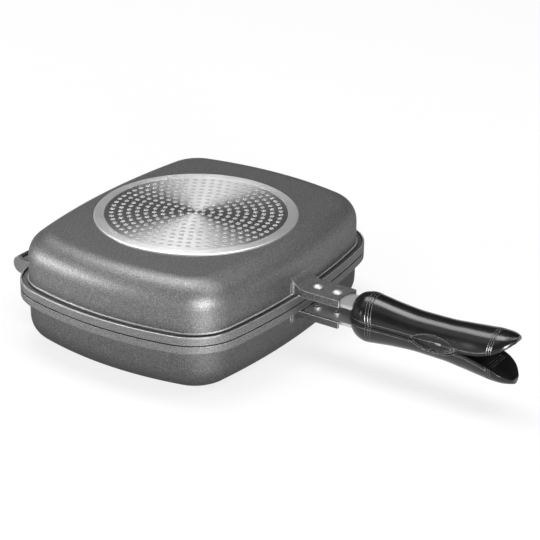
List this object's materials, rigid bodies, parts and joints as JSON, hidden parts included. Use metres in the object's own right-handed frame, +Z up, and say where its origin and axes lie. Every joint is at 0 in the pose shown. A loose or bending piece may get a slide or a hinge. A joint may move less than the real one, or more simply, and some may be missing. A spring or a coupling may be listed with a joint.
{
  "type": "hinged double-sided pan",
  "caption": "Hinged double-sided frying pan: rounded rectangular cast pans face to face, perforated induction bases, bracketed steel tangs and a two-part moulded handle that closes with the pans.",
  "frame": {"origin": "centre of the lower pan's resting face, which is the flat pad with the induction plate in it", "axes": "+Z up through both pans, +X along the handle, hinge on the -X side, seam between the pans at z = 53.8 mm"},
  "size_m": [0.4777, 0.3112, 0.1076],
  "materials": {
    "coated_casting": "cast aluminium with a speckled dark grey non-stick coating, bare machined ring around the base plate",
    "turned_steel": "magnetic steel with fine concentric turning marks",
    "bright_steel": "bright brushed steel",
    "rivet_metal": "polished aluminium rivet",
    "handle_resin": "black moulded phenolic resin with a soft gloss",
    "seal_rubber": "dark grey silicone",
    "insert_brass": "plain brass",
    "magnet_grey": "sintered magnet, dark grey",
    "cup_chrome": "chromed pressed steel"
  },
  "bodies": {
    "base": {"lower_pan": "coated_casting", "rim_seal": "seal_rubber", "left_hinge_pin": "bright_steel", "right_hinge_pin": "bright_steel", "lower_induction_plate": "turned_steel", "lower_tang": "bright_steel", "lower_bracket_rivets": "rivet_metal", "lower_grip": "handle_resin", "lower_grip_screw": "bright_steel", "lower_insert": "insert_brass", "lower_magnet": "magnet_grey", "lower_magnet_cup": "cup_chrome"},
    "lid": {"upper_pan": "coated_casting", "upper_induction_plate": "turned_steel", "upper_tang": "bright_steel", "upper_bracket_rivets": "rivet_metal", "upper_grip": "handle_resin", "upper_grip_screw": "bright_steel", "upper_insert": "insert_brass", "upper_magnet": "magnet_grey", "upper_magnet_cup": "cup_chrome"}
  },
  "joints": [
    {"name": "lid_hinge", "type": "hinge", "parent": "base", "child": "lid", "pos_m": [-0.134, 0, 0.0538], "axis": [0, -1, 0], "range_deg": [0, 98]}
  ]
}
